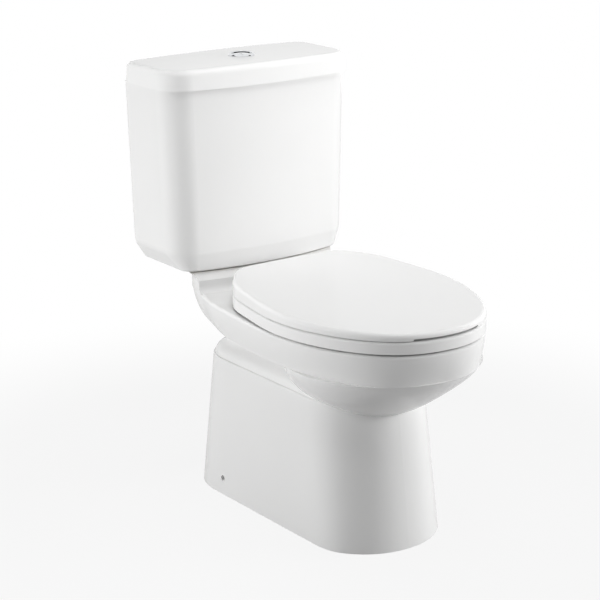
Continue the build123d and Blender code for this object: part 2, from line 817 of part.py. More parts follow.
def valve_washer():
    """Rubber washer under the flush valve's flange."""
    return tube(valve_flange_radius - valve_seat_width, valve_shank_radius + running_gap, tank_floor,
                valve_flange_bottom, y=valve_y)


def valve_tower():
    """Slotted guide tube that stands on the basket."""
    body = tube(tower_radius, tower_radius - tower_wall, basket_top, tower_top, y=valve_y)
    middle = (basket_top + tower_top) / 2
    window = block(-tower_window_width / 2, tower_window_width / 2, valve_y - 2 * tower_radius,
                   valve_y + 2 * tower_radius, middle - tower_window_height / 2,
                   middle + tower_window_height / 2)
    body -= window
    foot = tube(basket_radius - basket_wall / 2, tower_radius - tower_wall, basket_top,
                basket_top + basket_wall, y=valve_y)
    return body + foot


def valve_head():
    """Cap of the flush valve, with a hole under each push rod."""
    body = cylinder(head_radius, tower_top, head_top, y=valve_y)
    body -= cylinder(tower_radius + tower_wall, tower_top - overrun, head_top - basket_wall, y=valve_y)
    body += tube(tower_radius + tower_wall, tower_radius - tower_wall, tower_top, tower_top + basket_wall,
                 y=valve_y)
    for x in (-stem_offset, stem_offset):
        body -= cylinder(head_slot_radius, tower_top, head_top + overrun, x, valve_y)
    return body


def valve_core():
    """Lifting overflow tube with its guide discs."""
    bottom = valve_seat_top + seat_gap + seal_height
    top = bottom + core_height
    body = cylinder(core_radius, valve_seat_top + seat_gap, top, y=valve_y)
    body += cylinder(core_guide_radius, bottom, bottom + core_guide_height, y=valve_y)
    upper = (basket_top + tower_top) / 2 + tower_window_height / 2 - core_lift
    body += cylinder(core_guide_radius, upper - core_guide_height, upper, y=valve_y)
    return body - cylinder(core_bore, valve_seat_top - overrun, top + overrun, y=valve_y)


def valve_seal():
    """Rubber disc under the core."""
    return tube(seal_radius, core_radius, valve_seat_top + seat_gap, valve_seat_top + seat_gap + seal_height,
                y=valve_y)


def valve_nut():
    """Large plastic nut that pulls the flush valve down onto the tank floor."""
    bottom = cistern_bottom - valve_nut_height
    body = tube(valve_nut_radius - gasket_lip / 4, valve_shank_radius + running_gap, bottom, cistern_bottom,
                y=valve_y)
    lug = block(valve_nut_radius - gasket_lip, valve_nut_radius, valve_y - gasket_lip / 2,
                valve_y + gasket_lip / 2, bottom, cistern_bottom)
    centre = Axis((0, valve_y, 0), (0, 0, 1))
    for turn in range(valve_nut_lugs):
        body += lug.rotate(centre, 360 * turn / valve_nut_lugs)
    return body


def tank_gasket():
    """Thick rubber ring between cistern and pan, seated in the inlet's recess."""
    bottom = platform_top - inlet_recess_depth
    body = tube(gasket_radius, valve_nut_radius + seat_gap, bottom, cistern_bottom, y=valve_y)
    foot = tube(gasket_radius, inlet_radius, bottom, bottom + gasket_lip / 2, y=valve_y)
    return body + foot


# Fill valve
fill_flange_bottom = tank_floor + fill_washer_height
fill_flange_top = fill_flange_bottom + fill_flange_height
riser_top = fill_flange_top + riser_height
fill_head_top = riser_top + fill_head_height
float_top = riser_top - float_travel - float_wall
float_bottom = float_top - float_height
lever_z = riser_top + lever_rise
lever_pivot_y = valve_y - fill_head_radius - lever_thickness


def fill_valve_body():
    """Threaded shank, flange and riser tube."""
    low = cistern_bottom - fill_shank_drop
    body = cylinder(fill_shank_radius, low, fill_flange_bottom + overrun, fill_offset, valve_y)
    body += cylinder(fill_flange_radius, fill_flange_bottom, fill_flange_top, fill_offset, valve_y)
    body += cylinder(riser_radius, fill_flange_top, riser_top, fill_offset, valve_y)
    nut_bottom = cistern_bottom - fill_nut_height
    body -= tube(fill_flange_radius, fill_relief_radius, nut_bottom - fill_relief_height, nut_bottom,
                 fill_offset, valve_y)
    return body - cylinder(fill_bore, low - overrun, riser_top + overrun, fill_offset, valve_y)


def fill_valve_head():
    """Diaphragm housing on the riser, with the lever's two ears."""
    body = cylinder(fill_head_radius, riser_top, fill_head_top, fill_offset, valve_y)
    body = fillet(body.edges().group_by(Axis.Z)[-1], lever_pin_radius)
    ear_x = lever_width / 2 + hinge_side_gap
    for side in (-1, 1):
        inner = fill_offset + side * ear_x
        outer = fill_offset + side * (ear_x + lever_thickness / 2)
        body += block(min(inner, outer), max(inner, outer), lever_pivot_y - lever_thickness, valve_y,
                      lever_z - lever_thickness, lever_z + lever_thickness)
    pin = crossbar(lever_pin_radius, fill_offset - ear_x - lever_thickness / 2,
                   fill_offset + ear_x + lever_thickness / 2, lever_pivot_y, lever_z)
    return body + pin


def fill_valve_lever():
    """Lever that shuts the fill valve, on the head's cross pin, forked round the float's link."""
    far = lever_pivot_y - lever_arm - lever_thickness
    body = block(fill_offset - lever_width / 2, fill_offset + lever_width / 2, far, lever_pivot_y,
                 lever_z - lever_thickness / 2, lever_z + lever_thickness / 2)
    body += crossbar(lever_thickness - seat_gap, fill_offset - lever_width / 2, fill_offset + lever_width / 2,
                     lever_pivot_y, lever_z)
    body -= crossbar(lever_pin_radius + running_gap, fill_offset - lever_width, fill_offset + lever_width,
                     lever_pivot_y, lever_z)
    root = lever_pivot_y - lever_arm + lever_thickness
    fork = block(fill_offset - link_radius - hinge_side_gap, fill_offset + link_radius + hinge_side_gap,
                 far - overrun, root, lever_z - lever_width, lever_z + lever_width)
    return body - fork


def fill_valve_float():
    """Cup float on the riser, with the link that works the lever."""
    bore = riser_radius + float_bore_gap
    body = cylinder(float_radius, float_bottom, float_top, fill_offset, valve_y)
    body -= tube(float_radius - float_wall, bore + float_wall, float_bottom - overrun,
                 float_top - float_wall, fill_offset, valve_y)
    body -= cylinder(bore, float_bottom - overrun, float_top + overrun, fill_offset, valve_y)
    link_y = lever_pivot_y - lever_arm
    foot = block(fill_offset - lever_width / 2, fill_offset + lever_width / 2, link_y - lever_thickness,
                 valve_y - float_radius + float_wall, float_top - lever_thickness, float_top)
    link = cylinder(link_radius, float_top - lever_thickness, lever_z + lever_width, fill_offset, link_y)
    collar_top = lever_z - lever_thickness / 2 - link_collar_gap
    link += cylinder(link_collar_radius, collar_top - lever_thickness, collar_top, fill_offset, link_y)
    return body + foot + link


def fill_valve_washer():
    """Rubber washer under the fill valve's flange."""
    return tube(fill_flange_radius - float_wall, fill_shank_radius + running_gap, tank_floor,
                fill_flange_bottom, fill_offset, valve_y)


def fill_valve_nut():
    """Hexagon nut on the shank under the cistern."""
    bottom = cistern_bottom - fill_nut_height
    hexagon = extrude(Pos(fill_offset, valve_y, bottom) * RegularPolygon(fill_nut_radius, 6),
                      amount=fill_nut_height)
    flange = cylinder(fill_nut_radius + float_wall, cistern_bottom - fill_nut_height / 4, cistern_bottom,
                      fill_offset, valve_y)
    bore = cylinder(fill_shank_radius + running_gap, cistern_bottom - 2 * fill_nut_height,
                    cistern_bottom + overrun, fill_offset, valve_y)
    return hexagon + flange - bore


# Bolts that hold the cistern on the pan
bolt_head_bottom = tank_floor + bolt_seal_height


def group(pieces):
    """Like pieces that share one node, as separate solids."""
    return Compound(children=[solid for piece in pieces for solid in piece.solids()])


def tank_bolts():
    """Slotted round-head bolts."""
    pieces = []
    for x in tank_bolt_places():
        bolt = cylinder(tank_bolt_radius, bolt_head_bottom - tank_bolt_length, bolt_head_bottom, x, valve_y)
        head = cylinder(tank_bolt_head_radius, bolt_head_bottom, bolt_head_bottom + tank_bolt_head_height,
                        x, valve_y)
        head = chamfer(head.edges().group_by(Axis.Z)[-1], tank_bolt_head_height / 4)
        pieces.append(bolt + head)
    return group(pieces)


def bolt_rings(outer, inner, bottom, height):
    """Rings round the two bolts."""
    return group([tube(outer, inner, bottom, bottom + height, x, valve_y) for x in tank_bolt_places()])


def tank_bolt_nuts():
    """Hexagon nuts under the platform."""
    pieces = []
    top = plate_under - bolt_washer_height
    for x in tank_bolt_places():
        hexagon = extrude(Pos(x, valve_y, top - bolt_nut_height) * RegularPolygon(bolt_nut_radius, 6),
                          amount=bolt_nut_height)
        bore = cylinder(tank_bolt_radius + running_gap, top - 2 * bolt_nut_height, top + overrun, x, valve_y)
        pieces.append(hexagon - bore)
    return group(pieces)


# Seat ring, seat lid and hinges
def seat_points(inset):
    """Half outline that the ring and the lid share, drawn in evenly by an inset."""
    return half_outline(seat_half_width - inset, seat_front - inset, seat_widest, lid_back - inset,
                        seat_width_shares, seat_length_shares, seat_back_width_shares,
                        seat_back_length_shares)


def ring_blank(inset, bottom, top):
    """The ring's outer form between two heights, cut off square in front of the hinges."""
    whole = prism(mirrored_face(seat_points(inset), bottom), top - bottom)
    body = whole - block(-seat_half_width, seat_half_width, ring_back - inset, lid_back + overrun,
                         bottom - overrun, top + overrun)
    return fillet(body.edges().group_by(Axis.Z)[1], ring_corner - inset)


def ring_notch(side, growth):
    """Room in the ring's back edge for a hinge post and the lid's lug beside it."""
    near = lug_spans(side, True)
    far = lug_spans(side, False)
    if side > 0:
        x0, x1 = near[1] - growth, far[1] + hinge_side_gap + growth
    else:
        x0, x1 = far[0] - hinge_side_gap - growth, near[0] + growth
    return block(x0, x1, hinge_back - ring_notch_front - growth, ring_back + overrun, ring_bottom - overrun,
                 ring_top + overrun)


def lug(x0, x1, radius, reach_y, top):
    """Hinge lug: a plate round the hinge axis that runs forward and up to the shell."""
    body = crossbar(radius, x0, x1, hinge_back, axis_z)
    body += block(x0, x1, reach_y, hinge_back, axis_z - radius, top)
    return body - crossbar(hinge_pin_radius + running_gap, x0 - overrun, x1 + overrun, hinge_back, axis_z)


def lug_spans(side, inner):
    """Start and end along X of the ring's lug, inside of the post, or the lid's, outside of it."""
    middle = side * seat_hole_spacing / 2
    near = hinge_post_width / 2 + hinge_side_gap
    toward = -side if inner else side
    a = middle + toward * near
    b = middle + toward * (near + lug_width)
    return min(a, b), max(a, b)


def seat_ring():
    """Seat ring: domed on top, hollow under its skin, with ribs and two hinge lugs."""
    body = ring_blank(0.0, ring_bottom, ring_top)
    hole = egg_face(ring_hole_half_width, ring_hole_front, seat_widest, -ring_hole_back, ring_bottom)
    body -= prism(hole, ring_height + overrun)
    top_edges = body.faces().sort_by(Axis.Z)[-1].edges().sort_by(SortBy.LENGTH)
    body = fillet(top_edges, ring_edge_radius)
    shell = ring_shell + hinge_side_gap
    under_outer = ring_blank(shell, ring_bottom - overrun, ring_top - ring_shell)
    under_inner = egg_face(ring_hole_half_width + shell, ring_hole_front + shell, seat_widest,
                           shell - ring_hole_back, ring_bottom - overrun)
    trough = under_outer - prism(under_inner, ring_height + overrun)
    for y in bumper_places():
        trough -= block(-seat_half_width, seat_half_width, y - bumper_length / 2, y + bumper_length / 2,
                        ring_bottom - overrun, ring_top)
    for side in (-1, 1):
        trough -= ring_notch(side, shell)
    body -= trough
    for side in (-1, 1):
        body -= ring_notch(side, 0.0)
        x0, x1 = lug_spans(side, True)
        body += lug(x0, x1, lug_radius, ring_back - overrun, ring_top)
    return body


def bumper_places():
    """Where along Y the ring's bumpers lie: a pair near the front and a pair near the back."""
    return (-seat_widest - bumper_front_share * (seat_front - seat_widest),
            -seat_widest + bumper_back_share * (ring_back + seat_widest))


def bumper_x(y):
    """Half width of the ring's middle line at a place along Y."""
    if y < -seat_widest:
        share = (-seat_widest - y) / (seat_front - seat_widest)
        hole = (-seat_widest - y) / (ring_hole_front - seat_widest)
    else:
        share = (y + seat_widest) / (2 * (lid_back + seat_widest))
        hole = (y + seat_widest) / (seat_widest - ring_hole_back)
    outer = seat_half_width * math.sqrt(1 - share ** 2)
    inner = ring_hole_half_width * math.sqrt(max(1 - hole ** 2, 0.0))
    return (outer + inner) / 2


def seat_bumpers():
    """Four rubber buffers on which the ring rests on the rim."""
    pieces = []
    for y in bumper_places():
        for side in (-1, 1):
            x = side * bumper_x(y)
            pad = block(x - bumper_width / 2, x + bumper_width / 2, y - bumper_width, y + bumper_width,
                        rim_height + seat_gap, ring_bottom)
            pieces.append(fillet(pad.edges().filter_by(Axis.Z), bumper_width / 3))
    return group(pieces)


def lid_slope(y):
    """Height of the lid's top edge above its underside at a place along Y."""
    share = (y + seat_front) / (lid_back + seat_front)
    return lid_front_height + (lid_back_height - lid_front_height) * share


def lid_dome(drop):
    """Very large round body whose upper surface is the lid's top: crowned across, flatter along, sloping."""
    slope = (lid_back_height - lid_front_height) / (lid_back + seat_front)
    middle = (lid_back - seat_front) / 2
    crown = seat_half_width ** 2 / (2 * lid_top_radius)
    peak = lid_bottom + lid_slope(middle) + crown - drop
    lean = math.atan(slope)
    round_body = Rot(0, 90, 0) * Torus(lid_length_radius - lid_top_radius, lid_top_radius)
    return Pos(0, middle + lid_length_radius * math.sin(lean),
               peak - lid_length_radius * math.cos(lean)) * round_body


def seat_lid():
    """Seat lid: crowned shell with a rounded edge, two hinge lugs and a finger notch at the front."""
    outline = mirrored_face(seat_points(0.0), lid_bottom)
    blank = prism(outline, 2 * lid_back_height)
    body = blank & lid_dome(0.0)
    body = fillet(body.faces().sort_by(Axis.Z)[-1].edges(), lid_round)
    inner = prism(mirrored_face(seat_points(lid_inset), lid_bottom - overrun),
                  2 * lid_back_height) & lid_dome(lid_shell)
    body -= inner
    for side in (-1, 1):
        x0, x1 = lug_spans(side, False)
        plate = lug(x0, x1, lug_radius, hinge_back - lug_radius, axis_z + 3 * lug_radius)
        body += plate & lid_dome(lid_shell / 2)
        x = side * seat_hole_spacing / 2
        reach = hinge_post_width / 2 + notch_side_gap
        body -= block(x - reach, x + reach, hinge_back + lug_radius, lid_back + overrun,
                      lid_bottom - overrun, axis_z + notch_rise)
    grip = block(-notch_half_width, notch_half_width, -seat_front - overrun, -seat_front + notch_depth,
                 lid_bottom - overrun, lid_bottom + notch_height)
    return body - grip


def lid_bumpers():
    """Buffers under the lid that meet the ring."""
    pieces = []
    y = -seat_widest - lid_bumper_front_share * (seat_front - seat_widest)
    for side in (-1, 1):
        x = side * bumper_x(y)
        pad = cylinder(lid_bumper_radius, ring_top + seat_gap, lid_bottom + lid_front_height, x, y)
        pieces.append(pad & lid_dome(lid_shell))
    return group(pieces)


def hinge_posts():
    """Hinge posts on the deck, each with a foot and a barrel round the pin."""
    pieces = []
    for x in hinge_places():
        half = hinge_post_width / 2
        post = cylinder(hinge_foot_radius, rim_height, rim_height + hinge_foot_height, x, hinge_back)
        post += block(x - half, x + half, hinge_back - hinge_column_half, hinge_back + hinge_column_half,
                      rim_height, axis_z)
        post += crossbar(hinge_barrel_radius, x - half, x + half, hinge_back, axis_z)
        post -= crossbar(hinge_pin_radius, x - hinge_post_width, x + hinge_post_width, hinge_back, axis_z)
        post -= cylinder(stud_radius, rim_height - overrun, rim_height + stud_socket, x, hinge_back)
        pieces.append(post)
    return group(pieces)


def hinge_pins():
    """Steel pins through the posts and the lugs on both sides of each."""
    reach = hinge_post_width / 2 + hinge_side_gap + lug_width + hinge_side_gap
    return group([crossbar(hinge_pin_radius, x - reach, x + reach, hinge_back, axis_z)
                  for x in hinge_places()])


def hinge_studs():
    """Threaded studs that hold the posts down."""
    top = rim_height + stud_socket
    return group([cylinder(stud_radius, top - stud_length, top, x, hinge_back) for x in hinge_places()])


def hinge_sleeves():
    """Rubber sleeves that grip the deck's holes."""
    bottom = rim_height - deck_thickness
    return group([tube(sleeve_radius, stud_radius, bottom, rim_height, x, hinge_back)
                  for x in hinge_places()])


def hinge_nuts():
    """Nuts at the lower ends of the studs."""
    pieces = []
    top = rim_height - deck_thickness
    for x in hinge_places():
        hexagon = extrude(Pos(x, hinge_back, top - hinge_nut_height) * RegularPolygon(hinge_nut_radius, 6),
                          amount=hinge_nut_height)
        pieces.append(hexagon - cylinder(stud_radius, top - 2 * hinge_nut_height, top + overrun, x,
                                         hinge_back))
    return group(pieces)


pan_top, pan_belly, pan_skirt, pan_trapway, pan_outlet = pan_sections()
parts = {
    "bowl_rim": lambda: pan_top,
    "bowl_belly": lambda: pan_belly,
    "bowl_skirt": lambda: pan_skirt,
    "bowl_trapway": lambda: pan_trapway,
    "bowl_outlet": lambda: pan_outlet,
    "cistern": cistern,
    "cistern_lid": cistern_lid,
    "button_bezel": button_bezel,
    "button_nut": button_nut,
    "full_flush_button": lambda: button_half(1),
    "half_flush_button": lambda: button_half(-1),
    "full_push_rod": lambda: push_rod(1),
    "half_push_rod": lambda: push_rod(-1),
    "valve_base": valve_base,
    "valve_washer": valve_washer,
    "valve_tower": valve_tower,
    "valve_head": valve_head,
    "valve_core": valve_core,
    "valve_seal": valve_seal,
    "valve_nut": valve_nut,
    "tank_gasket": tank_gasket,
    "fill_valve_body": fill_valve_body,
    "fill_valve_head": fill_valve_head,
    "fill_valve_lever": fill_valve_lever,
    "fill_valve_float": fill_valve_float,
    "fill_valve_washer": fill_valve_washer,
    "fill_valve_nut": fill_valve_nut,
    "tank_bolts": tank_bolts,
    "tank_bolt_seals": lambda: bolt_rings(bolt_seal_radius, tank_bolt_radius, tank_floor, bolt_seal_height),
    "tank_bolt_washers": lambda: bolt_rings(bolt_washer_radius, tank_bolt_radius + running_gap,
                                            plate_under - bolt_washer_height, bolt_washer_height),
    "tank_bolt_nuts": tank_bolt_nuts,
    "seat_ring": seat_ring,
    "seat_bumpers": seat_bumpers,
    "seat_lid": seat_lid,
    "lid_bumpers": lid_bumpers,
    "hinge_posts": hinge_posts,
    "hinge_pins": hinge_pins,
    "hinge_studs": hinge_studs,
    "hinge_sleeves": hinge_sleeves,
    "hinge_nuts": hinge_nuts,
}

for name, make in parts.items():
    export_step(make(), os.path.join("parts", name + ".step"))
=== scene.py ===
# %% [markdown]
# This lesson dresses a two-piece toilet for a studio picture. The pan, the cistern, the seat and
# every part of the flush are already built to size in CAD, so nothing is modelled a second time.
# What is left is what a camera sees first: glaze, moulded plastic, plate, rubber and light.

# %% Load the built parts
import math

import bpy
from mathutils import Matrix, Vector


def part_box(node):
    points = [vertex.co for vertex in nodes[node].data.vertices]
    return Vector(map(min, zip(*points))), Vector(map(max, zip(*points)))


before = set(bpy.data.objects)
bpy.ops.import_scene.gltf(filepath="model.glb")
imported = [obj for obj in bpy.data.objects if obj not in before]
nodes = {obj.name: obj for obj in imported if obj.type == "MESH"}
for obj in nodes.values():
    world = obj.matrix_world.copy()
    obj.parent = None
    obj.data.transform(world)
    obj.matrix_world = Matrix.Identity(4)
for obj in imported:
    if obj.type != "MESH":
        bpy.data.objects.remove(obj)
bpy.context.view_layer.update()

# %% [markdown]
# A finish is a small formula: how rough, how pale, how bumpy at each place. Blender keeps such a
# formula as linked nodes, which are hard to read in a script. Wrapping one socket in a class
# that knows how to add and multiply lets the formula be written as plain sums instead.

# %% A socket that takes part in sums
class Wire:
    """One output of a node. A sum on it adds a Math node to the same tree."""

    def __init__(self, finish, socket):
        self.finish = finish
        self.socket = socket

    def maths(self, operation, first, second=0.0):
        return self.finish.add("ShaderNodeMath", {"operation": operation}, {0: first, 1: second})

    def __add__(self, other):
        return self.maths("ADD", self, other)

    def __radd__(self, other):
        return self.maths("ADD", other, self)

    def __sub__(self, other):
        return self.maths("SUBTRACT", self, other)

    def __rsub__(self, other):
        return self.maths("SUBTRACT", other, self)

    def __mul__(self, other):
        return self.maths("MULTIPLY", self, other)

    def __rmul__(self, other):
        return self.maths("MULTIPLY", other, self)

    def __abs__(self):
        return self.maths("ABSOLUTE", self)


print("sums on sockets:", [name for name in vars(Wire) if name.startswith("__")][3:])

# %% [markdown]
# Every other node comes from one method. It takes the node's type, then its settings, then the
# values or wires of its sockets, in that order, because some settings change which sockets a
# node has. The short helpers below it name the few patterns that the finishes share.

# %% One finish and its node tree
class Finish:
    """The node tree of a material or of the world, written as expressions."""

    def __init__(self, owner):
        owner.use_nodes = True
        self.owner = owner
        self.tree = owner.node_tree
        self.tree.nodes.clear()

    def add(self, kind, settings=None, sockets=None, out=0):
        node = self.tree.nodes.new(kind)
        for name, value in (settings or {}).items():
            setattr(node, name, value)
        for name, value in (sockets or {}).items():
            if isinstance(value, Wire):
                self.tree.links.new(value.socket, node.inputs[name])
            else:
                node.inputs[name].default_value = value
        return Wire(self, node.outputs[out]) if node.outputs else None

    def place(self):
        return self.add("ShaderNodeTexCoord", out="Object")

    def part_of(self, vector, axis):
        return self.add("ShaderNodeSeparateXYZ", sockets={0: vector}, out=axis)

    def facing(self, axis):
        return self.part_of(self.add("ShaderNodeTexCoord", out="Normal"), axis)

    def height(self):
        return self.part_of(self.place(), "Z")

    def stretched(self, factors):
        sockets = {0: self.place(), 1: factors}
        return self.add("ShaderNodeVectorMath", {"operation": "MULTIPLY"}, sockets)

    def grain(self, scale, detail=2.0, factors=(1.0, 1.0, 1.0)):
        sockets = {"Vector": self.stretched(factors), "Scale": scale, "Detail": detail}
        return self.add("ShaderNodeTexNoise", sockets=sockets)

    def ease(self, value, low, high):
        sockets = {"Value": value, "From Min": low, "From Max": high}
        return self.add("ShaderNodeMapRange", {"interpolation_type": "SMOOTHSTEP"}, sockets)

    def tint(self, mask, first, second):
        sockets = {0: mask, 6: first, 7: second}
        return self.add("ShaderNodeMix", {"data_type": "RGBA"}, sockets, out=2)

    def relief(self, height, distance):
        return self.add("ShaderNodeBump", sockets={"Height": height, "Distance": distance})

    def thread(self, low, high, pitch):
        """A ridge that repeats with height, on upright walls between two heights."""
        level = self.height()
        upright = self.ease(abs(self.facing("Z")), 0.6, 0.2)
        span = self.ease(level, low, low + pitch) * self.ease(level, high, high - pitch)
        return level.maths("PINGPONG", level, pitch / 2) * (2.0 / pitch) * upright * span

    def seen_by(self, kind_of_ray):
        return self.add("ShaderNodeLightPath", out=kind_of_ray)

    def surface(self, sockets):
        shader = self.add("ShaderNodeBsdfPrincipled", sockets=sockets)
        self.add("ShaderNodeOutputMaterial", sockets={0: shader})
        return self.owner


def new_finish(name):
    return Finish(bpy.data.materials.new(name))


def dress(material, *names):
    """Gives a finish to CAD nodes through their material slots."""
    for name in names:
        for slot in nodes[name].material_slots:
            slot.material = material
    print(material.name, "on", ", ".join(names))


# %% [markdown]
# Colours are linear, and a paint sample of 1.0 would be whiter than any real surface. Vitreous
# china sits near 0.85, moulded seat plastic a little above it. Keeping each pair of tones close
# together gives life to a white surface without anyone seeing a pattern.

# %% Paint box
china_pale = (0.865, 0.865, 0.86, 1.0)
china_deep = (0.835, 0.835, 0.832, 1.0)
biscuit_pale = (0.78, 0.75, 0.69, 1.0)
biscuit_deep = (0.69, 0.65, 0.58, 1.0)
seat_pale = (0.885, 0.885, 0.88, 1.0)
seat_deep = (0.86, 0.86, 0.857, 1.0)
plate_bright = (0.80, 0.81, 0.82, 1.0)
plate_worn = (0.70, 0.71, 0.73, 1.0)
print("glaze from", china_deep[:3], "to", china_pale[:3])

# %% [markdown]
# Glaze melts in the kiln and runs, so a glazed wall is never quite flat: it has slow waves a hand
# wide and a very fine skin over them. Both are far too small for the mesh, so they are a bump.
# Where the casting stood on the kiln shelf, and where the two castings meet, no glaze is put
# on, and the bare biscuit is matt, warm and sandy. The foot of a toilet shows it when tipped.

# %% Glazed china with bare biscuit where it stood
def glazed_china(name, bare_levels):
    """Glaze, with biscuit on flat faces at the given heights and on faces turned down there."""
    finish = new_finish(name)
    flat = finish.ease(abs(finish.facing("Z")), 0.9, 0.98)
    bare = 0.0
    for low, high in bare_levels:
        level = finish.height()
        bare = bare + finish.ease(level, low - 0.0002, low) * finish.ease(level, high + 0.0002, high)
    bare = bare * flat
    waves = finish.grain(7.0, 1.0)
    skin = finish.grain(320.0, 1.0)
    sand = finish.grain(1500.0, 3.0)
    glaze = finish.tint(finish.grain(5.0, 2.0), china_deep, china_pale)
    biscuit = finish.tint(finish.ease(sand, 0.35, 0.65), biscuit_deep, biscuit_pale)
    height = (waves + skin * 0.006) * (1.0 - bare) + sand * bare * 0.25
    return finish.surface({
        "Base Color": finish.tint(bare, glaze, biscuit),
        "Roughness": (0.055 + 0.05 * finish.grain(24.0, 2.0)) * (1.0 - bare) + 0.75 * bare,
        "Normal": finish.relief(height, 0.0008),
        "IOR": 1.52,
    })


# %% Glaze the pan
def thin_level(height):
    """A band of heights, 1 mm to each side of a flat face."""
    return height - 0.001, height + 0.001


pan_nodes = [name for name in nodes if name.startswith("bowl_")]
floor_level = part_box("bowl_skirt")[0].z
pan_glaze = glazed_china("pan_glaze", [thin_level(floor_level)])
dress(pan_glaze, *pan_nodes)

# %% Glaze the cistern and its lid
tank_low, tank_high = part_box("cistern")
lid_low, lid_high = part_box("cistern_lid")
cistern_glaze = glazed_china("cistern_glaze", [thin_level(tank_low.z), thin_level(tank_high.z)])
dress(cistern_glaze, "cistern")
lid_glaze = glazed_china("cistern_lid_glaze", [thin_level(lid_low.z)])
dress(lid_glaze, "cistern_lid")
print("tank stands from", round(tank_low.z, 4), "to", round(lid_high.z, 4))

# %% [markdown]
# A good seat is pressed from a hard urea plastic. Its top is polished in the mould, so it is almost
# as bright as glaze but flatter, without waves. The ribbed underside is left satin, which also
# keeps the two faces apart when the lid is raised. A face turned down is found by its normal.

# %% Polished seat plastic with a satin underside
def seat_plastic(name, pale, deep):
    finish = new_finish(name)
    under = finish.ease(finish.facing("Z"), -0.3, -0.8)
    wipe = finish.grain(9.0, 2.0, (1.0, 0.35, 1.0))
    satin = finish.grain(900.0, 2.0)
    return finish.surface({
        "Base Color": finish.tint(finish.grain(4.0, 1.0), deep, pale),
        "Roughness": 0.085 + 0.05 * wipe + under * (0.22 + 0.1 * satin),
        "Normal": finish.relief(finish.grain(260.0, 1.0) * 0.02 + satin * under * 0.08, 0.0003),
        "IOR": 1.5,
    })


dress(seat_plastic("seat_gloss", seat_pale, seat_deep), "seat_ring", "seat_lid")
post_pale = (0.83, 0.83, 0.825, 1.0)
post_deep = (0.79, 0.79, 0.785, 1.0)
dress(seat_plastic("hinge_post_gloss", post_pale, post_deep), "hinge_posts")

# %% [markdown]
# The push buttons and their ring are plated. Plate is a metal shader with almost no roughness, so
# nearly all its look comes from what it mirrors. Thumbs and cloths leave a haze that is only
# seen in the reflections, so the haze goes into the roughness and hardly into the colour.

# %% Chrome plate with a wiped haze
plate = new_finish("chrome_plate")
haze = plate.grain(55.0, 3.0, (1.0, 2.5, 1.0))
hairlines = plate.grain(240.0, 2.0, (1.0, 14.0, 1.0))
chrome = plate.surface({
    "Base Color": plate.tint(plate.ease(haze, 0.3, 0.75), plate_bright, plate_worn),
    "Metallic": 1.0,
    "Roughness": 0.035 + 0.07 * plate.ease(haze, 0.45, 0.8) + 0.02 * hairlines,
    "Normal": plate.relief(hairlines, 0.000004),
})
dress(chrome, "button_bezel", "full_flush_button", "half_flush_button")

# %% [markdown]
# Inside the cistern everything is moulded and nobody polishes it. The moulds are spark-eroded,
# which prints a fine leather-like texture. Pieces that screw together also need a thread. The
# CAD shanks are plain, so the thread is a ridge that repeats with height, on upright walls only.

# %% Moulded plastic, with a screw thread between two heights
def moulded(name, pale, deep, roughness, thread=None):
    finish = new_finish(name)
    leather = finish.grain(700.0, 2.0)
    height = leather * 0.1
    if thread:
        height = height + finish.thread(*thread)
    return finish.surface({
        "Base Color": finish.tint(finish.grain(14.0, 2.0), deep, pale),
        "Roughness": roughness + 0.12 * leather,
        "Normal": finish.relief(height, 0.0004),
        "IOR": 1.49,
    })


# %% White working parts
valve_pale = (0.80, 0.80, 0.78, 1.0)
valve_deep = (0.75, 0.75, 0.72, 1.0)
dress(moulded("valve_moulding", valve_pale, valve_deep, 0.32),
      "valve_tower", "valve_head", "valve_core", "fill_valve_head", "fill_valve_float")
drain_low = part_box("valve_base")[0].z
dress(moulded("flush_valve_shank", valve_pale, valve_deep, 0.32, (drain_low, tank_low.z, 0.003)),
      "valve_base")
inlet_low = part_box("fill_valve_body")[0].z
dress(moulded("fill_valve_shank", valve_pale, valve_deep, 0.3, (inlet_low, tank_low.z, 0.0018)),
      "fill_valve_body")

# %% Coloured nuts, rods and the float arm
slate_pale = (0.34, 0.44, 0.57, 1.0)
slate_deep = (0.28, 0.37, 0.50, 1.0)
dress(moulded("slate_plastic", slate_pale, slate_deep, 0.36),
      "valve_nut", "fill_valve_nut", "button_nut", "fill_valve_lever")
rod_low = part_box("full_push_rod")[0].z
dress(moulded("push_rod_plastic", slate_pale, slate_deep, 0.3, (rod_low, rod_low + 0.03, 0.0015)),
      "full_push_rod", "half_push_rod")
nylon_pale = (0.72, 0.72, 0.69, 1.0)
nylon_deep = (0.66, 0.66, 0.62, 1.0)
dress(moulded("hinge_nut_nylon", nylon_pale, nylon_deep, 0.4), "hinge_nuts")

# %% [markdown]
# Rubber is dark, never quite black, and dusty where it has been handled. The big gasket under the
# cistern is a foam with open pores: the cells are sunk in as a bump, and their hearts get painted
# shade.
# Bumpers under a white seat are moulded pale, so they don't mark the rim or catch the eye.

# %% Solid rubber, foam rubber and pale bumpers
def rubber(name, pale, deep, cells=0.0):
    finish = new_finish(name)
    dust = finish.grain(90.0, 4.0)
    dust_and_pore_shade = finish.ease(dust, 0.4, 0.75)
    height = finish.grain(1200.0, 2.0) * 0.2
    if cells:
        pores = finish.add("ShaderNodeTexVoronoi", sockets={"Vector": finish.place(), "Scale": cells})
        height = height + finish.ease(pores, 0.1, 0.5)
        # Painted shade: the colour darkens towards each pore's heart, where shade falls in the pit.
        dust_and_pore_shade = dust_and_pore_shade * finish.ease(pores, 0.0, 0.35)
    return finish.surface({
        "Base Color": finish.tint(dust_and_pore_shade, deep, pale),
        "Roughness": 0.62 + 0.2 * dust,
        "Normal": finish.relief(height, 0.0003),
        "IOR": 1.45,
    })


